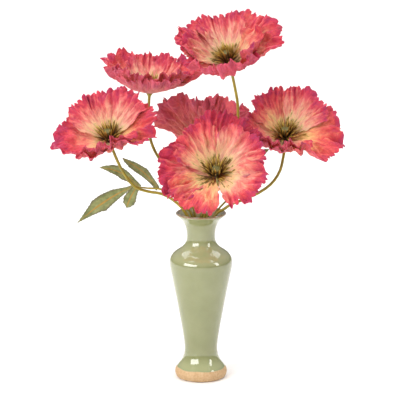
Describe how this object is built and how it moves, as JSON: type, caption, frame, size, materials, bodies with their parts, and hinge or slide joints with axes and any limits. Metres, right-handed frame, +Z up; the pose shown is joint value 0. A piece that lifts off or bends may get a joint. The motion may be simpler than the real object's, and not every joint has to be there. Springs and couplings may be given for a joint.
{
  "type": "poppy flowers in a bottle vase",
  "caption": "Ruffled poppies with spiky stamen crowns on curved wire stems, with deeply cut leaves, standing in a slim waisted bottle vase with a flared lip.",
  "frame": {"origin": "centre of the vase's flat foot, which stands on the surface", "axes": "+Z up along the vase's axis; -Y is the front, which the front bloom faces; +X is to the right seen from the front"},
  "size_m": [0.3164, 0.2272, 0.4093],
  "materials": {
    "glaze": "glossy celadon glaze",
    "petal_inside": "dyed silk, coral",
    "petal_outside": "dyed silk, raspberry",
    "stem_green": "satin olive coating",
    "leaf_green": "dyed cloth, sage green",
    "stamen_brown": "matt olive brown",
    "pod_green": "matt green"
  },
  "bodies": {
    "root": {"vase": "glaze", "front_stem": "stem_green", "front_pod": "pod_green", "front_stamens": "stamen_brown", "front_inner_petal_1": "petal_inside", "front_inner_petal_2": "petal_inside", "front_inner_petal_3": "petal_inside", "front_inner_petal_4": "petal_inside", "front_outer_petal_1": "petal_outside", "front_outer_petal_2": "petal_outside", "left_stem": "stem_green", "left_pod": "pod_green", "left_stamens": "stamen_brown", "left_inner_petal_1": "petal_inside", "left_inner_petal_2": "petal_inside", "left_inner_petal_3": "petal_inside", "left_outer_petal_1": "petal_outside", "left_outer_petal_2": "petal_outside", "left_outer_petal_3": "petal_outside", "top_stem": "stem_green", "top_pod": "pod_green", "top_stamens": "stamen_brown", "top_inner_petal_1": "petal_inside", "top_inner_petal_2": "petal_inside", "top_inner_petal_3": "petal_inside", "top_outer_petal_1": "petal_outside", "top_outer_petal_2": "petal_outside", "top_outer_petal_3": "petal_outside", "upper_left_stem": "stem_green", "upper_left_pod": "pod_green", "upper_left_stamens": "stamen_brown", "upper_left_inner_petal_1": "petal_inside", "upper_left_inner_petal_2": "petal_inside", "upper_left_inner_petal_3": "petal_inside", "upper_left_outer_petal_1": "petal_outside", "upper_left_outer_petal_2": "petal_outside", "upper_left_outer_petal_3": "petal_outside", "back_stem": "stem_green", "back_pod": "pod_green", "back_stamens": "stamen_brown", "back_inner_petal_1": "petal_inside", "back_inner_petal_2": "petal_inside", "back_inner_petal_3": "petal_inside", "back_outer_petal_1": "petal_outside", "back_outer_petal_2": "petal_outside", "back_outer_petal_3": "petal_outside", "right_stem": "stem_green", "right_pod": "pod_green", "right_stamens": "stamen_brown", "right_inner_petal_1": "petal_inside", "right_inner_petal_2": "petal_inside", "right_inner_petal_3": "petal_inside", "right_outer_petal_1": "petal_outside", "right_outer_petal_2": "petal_outside", "right_outer_petal_3": "petal_outside", "left_leaf_blade": "leaf_green", "left_leaf_stalk": "stem_green", "right_leaf_blade": "leaf_green", "right_leaf_stalk": "stem_green"}
  },
  "joints": []
}
